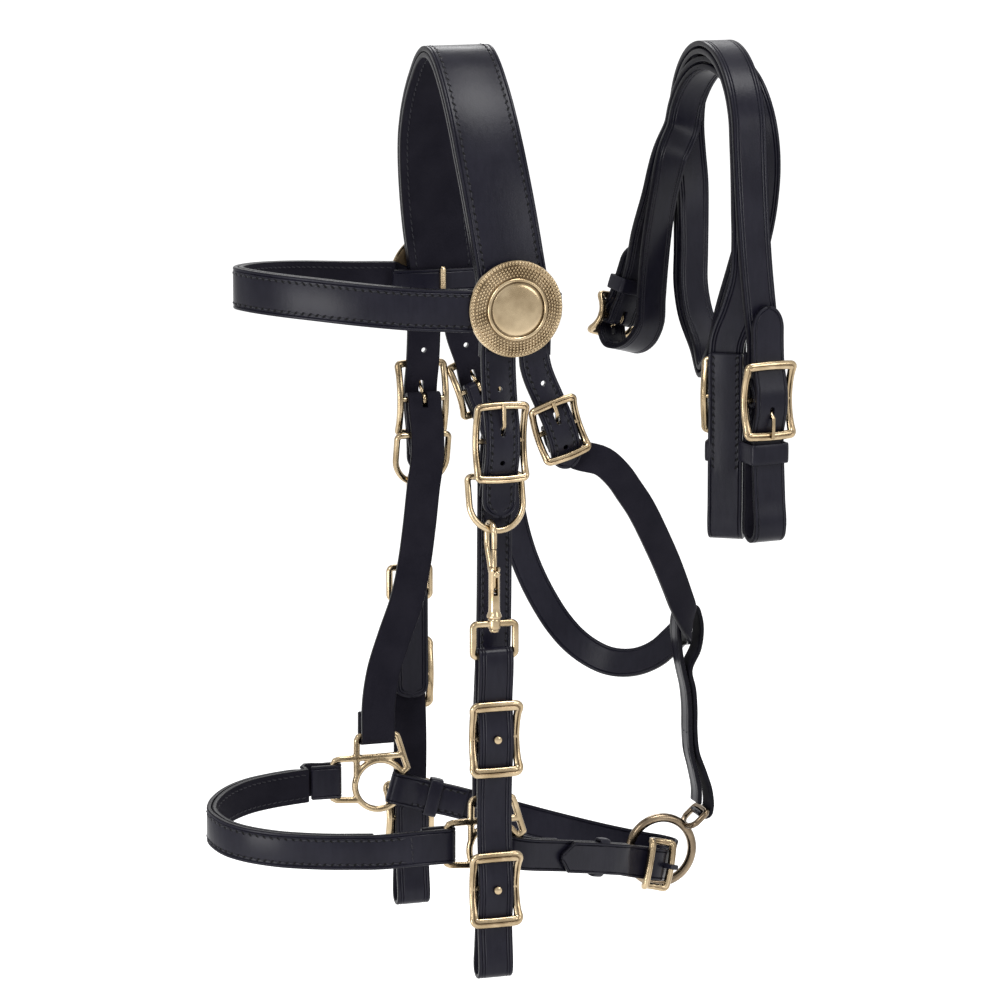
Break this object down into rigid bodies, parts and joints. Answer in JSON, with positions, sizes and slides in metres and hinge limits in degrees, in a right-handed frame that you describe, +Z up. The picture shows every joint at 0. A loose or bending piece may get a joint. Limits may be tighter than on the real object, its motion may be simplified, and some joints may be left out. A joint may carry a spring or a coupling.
{
  "type": "halter bridle",
  "caption": "Leather halter bridle with browband, noseband, throat and chin straps, clip-on bit hangers and brass fittings, with its folded pair of reins.",
  "frame": {"origin": "middle of the crown's underside, at its highest point, where the bridle hangs or rests on the poll", "axes": "+Z up, -Y towards the horse's nose, +X towards the horse's left (near) side"},
  "size_m": [0.1684, 0.314, 0.4894],
  "materials": {
    "black_leather": "smooth bridle leather with a soft sheen, suede flesh side inside",
    "brass": "polished",
    "spring_steel": "plain"
  },
  "bodies": {
    "bridle": {"browband_lining": "black_leather", "browband_outer": "black_leather", "cheek_buckle_far": "brass", "cheek_buckle_near": "brass", "chin_buckle": "brass", "chin_keeper_near": "black_leather", "chin_strap_far": "black_leather", "chin_strap_near": "black_leather", "crown_lining": "black_leather", "crown_outer": "black_leather", "halter_cheek_far": "black_leather", "halter_cheek_near": "black_leather", "jaw_strap": "black_leather", "nose_fitting_far": "brass", "nose_fitting_near": "brass", "noseband_lining": "black_leather", "noseband_outer": "black_leather", "rosette_bar_far": "brass", "rosette_bar_near": "brass", "rosette_far": "brass", "rosette_near": "brass", "throat_buckle_far": "brass", "throat_buckle_near": "brass", "throat_strap": "black_leather"},
    "dee_near": {"dee_near": "brass"},
    "snap_near": {"snap_body_near": "brass", "snap_spring_near": "spring_steel"},
    "bolt_near": {"snap_bolt_near": "brass"},
    "swivel_near": {"snap_swivel_near": "brass"},
    "hanger_near": {"bit_hanger_near": "black_leather", "conway_upper_near": "brass", "conway_lower_near": "brass"},
    "dee_far": {"dee_far": "brass"},
    "snap_far": {"snap_body_far": "brass", "snap_spring_far": "spring_steel"},
    "bolt_far": {"snap_bolt_far": "brass"},
    "swivel_far": {"snap_swivel_far": "brass"},
    "hanger_far": {"bit_hanger_far": "black_leather", "conway_upper_far": "brass", "conway_lower_far": "brass"},
    "cheek_tongue_near": {"cheek_tongue_near": "brass"},
    "throat_tongue_near": {"throat_tongue_near": "brass"},
    "cheek_tongue_far": {"cheek_tongue_far": "brass"},
    "throat_tongue_far": {"throat_tongue_far": "brass"},
    "chin_tongue": {"chin_tongue": "brass"},
    "reins": {"rein_billet_far": "black_leather", "rein_billet_near": "black_leather", "rein_buckle_far": "brass", "rein_buckle_near": "brass", "rein_centre_buckle": "brass", "rein_centre_keeper": "black_leather", "rein_far": "black_leather", "rein_keeper_far": "black_leather", "rein_keeper_near": "black_leather", "rein_near": "black_leather"},
    "rein_tongue_near": {"rein_tongue_near": "brass"},
    "rein_tongue_far": {"rein_tongue_far": "brass"},
    "rein_centre_tongue": {"rein_centre_tongue": "brass"},
    "chin_keeper_far": {"chin_keeper_far": "black_leather"},
    "chin_ring": {"chin_ring": "brass"}
  },
  "joints": [
    {"name": "dee_near_swing", "type": "hinge", "parent": "bridle", "child": "dee_near", "pos_m": [0.0634, 0, -0.2132], "axis": [0, -1, 0], "range_deg": [0, 40]},
    {"name": "snap_near_swing", "type": "hinge", "parent": "dee_near", "child": "snap_near", "pos_m": [0.07027, -0.0042, -0.24075], "axis": [0, -1, 0], "range_deg": [0, 45]},
    {"name": "bolt_near_pull", "type": "slide", "parent": "snap_near", "child": "bolt_near", "axis": [0, 0, -1], "range_m": [0, 0.0085], "stiffness_N_per_m": 200, "springref_m": -0.008, "deforming": ["snap_spring_near"]},
    {"name": "swivel_near_turn", "type": "hinge", "parent": "snap_near", "child": "swivel_near", "pos_m": [0.07657, -0.0042, -0.28975], "axis": [0, 0, 1], "continuous": true},
    {"name": "hanger_near_swing", "type": "hinge", "parent": "swivel_near", "child": "hanger_near", "pos_m": [0.07657, -0.0042, -0.30705], "axis": [0, -1, 0], "range_deg": [0, 70]},
    {"name": "dee_far_swing", "type": "hinge", "parent": "bridle", "child": "dee_far", "pos_m": [-0.0634, 0, -0.2132], "axis": [0, 1, 0], "range_deg": [0, 40]},
    {"name": "snap_far_swing", "type": "hinge", "parent": "dee_far", "child": "snap_far", "pos_m": [-0.07027, -0.0042, -0.24075], "axis": [0, 1, 0], "range_deg": [0, 45]},
    {"name": "bolt_far_pull", "type": "slide", "parent": "snap_far", "child": "bolt_far", "axis": [0, 0, -1], "range_m": [0, 0.0085], "stiffness_N_per_m": 200, "springref_m": -0.008, "deforming": ["snap_spring_far"]},
    {"name": "swivel_far_turn", "type": "hinge", "parent": "snap_far", "child": "swivel_far", "pos_m": [-0.07657, -0.0042, -0.28975], "axis": [0, 0, 1], "continuous": true},
    {"name": "hanger_far_swing", "type": "hinge", "parent": "swivel_far", "child": "hanger_far", "pos_m": [-0.07657, -0.0042, -0.30705], "axis": [0, 1, 0], "range_deg": [0, 70]},
    {"name": "cheek_tongue_near_lift", "type": "hinge", "parent": "bridle", "child": "cheek_tongue_near", "pos_m": [0.068, 0.0015, -0.194], "axis": [0, 1, 0], "range_deg": [0, 5]},
    {"name": "throat_tongue_near_lift", "type": "hinge", "parent": "bridle", "child": "throat_tongue_near", "pos_m": [0.068, 0.0335, -0.189], "axis": [0, 0.9511, 0.309], "range_deg": [0, 5]},
    {"name": "cheek_tongue_far_lift", "type": "hinge", "parent": "bridle", "child": "cheek_tongue_far", "pos_m": [-0.068, 0.0015, -0.194], "axis": [0, -1, 0], "range_deg": [0, 5]},
    {"name": "throat_tongue_far_lift", "type": "hinge", "parent": "bridle", "child": "throat_tongue_far", "pos_m": [-0.068, 0.0335, -0.189], "axis": [0, -0.9511, -0.309], "range_deg": [0, 5]},
    {"name": "chin_tongue_lift", "type": "hinge", "parent": "bridle", "child": "chin_tongue", "pos_m": [0.017, 0.1055, -0.445], "axis": [0.1402, -0.2239, -0.9645], "range_deg": [0, 3]},
    {"name": "reins_take_down", "type": "slide", "parent": "bridle", "child": "reins", "axis": [0, 1, 0], "range_m": [0, 0.12]},
    {"name": "rein_tongue_near_lift", "type": "hinge", "parent": "reins", "child": "rein_tongue_near", "pos_m": [0.0515, 0.1575, -0.183], "axis": [0.12, -0.9928, 0], "range_deg": [0, 5]},
    {"name": "rein_tongue_far_lift", "type": "hinge", "parent": "reins", "child": "rein_tongue_far", "pos_m": [0.0262, 0.1452, -0.185], "axis": [0.5299, 0.848, 0], "range_deg": [0, 5]},
    {"name": "rein_centre_tongue_lift", "type": "hinge", "parent": "reins", "child": "rein_centre_tongue", "pos_m": [-0.06, 0.1128, -0.153], "axis": [-0.323, 0.9129, -0.2495], "range_deg": [0, 3]},
    {"name": "chin_keeper_far_slide", "type": "slide", "parent": "bridle", "child": "chin_keeper_far", "axis": [0.195, 0.9481, -0.251], "range_m": [-0.003, 0.004]},
    {"name": "chin_ring_tilt", "type": "hinge", "parent": "bridle", "child": "chin_ring", "pos_m": [0, 0.14116, -0.42179], "axis": [1, 0, 0], "range_deg": [-4, 0]}
  ]
}
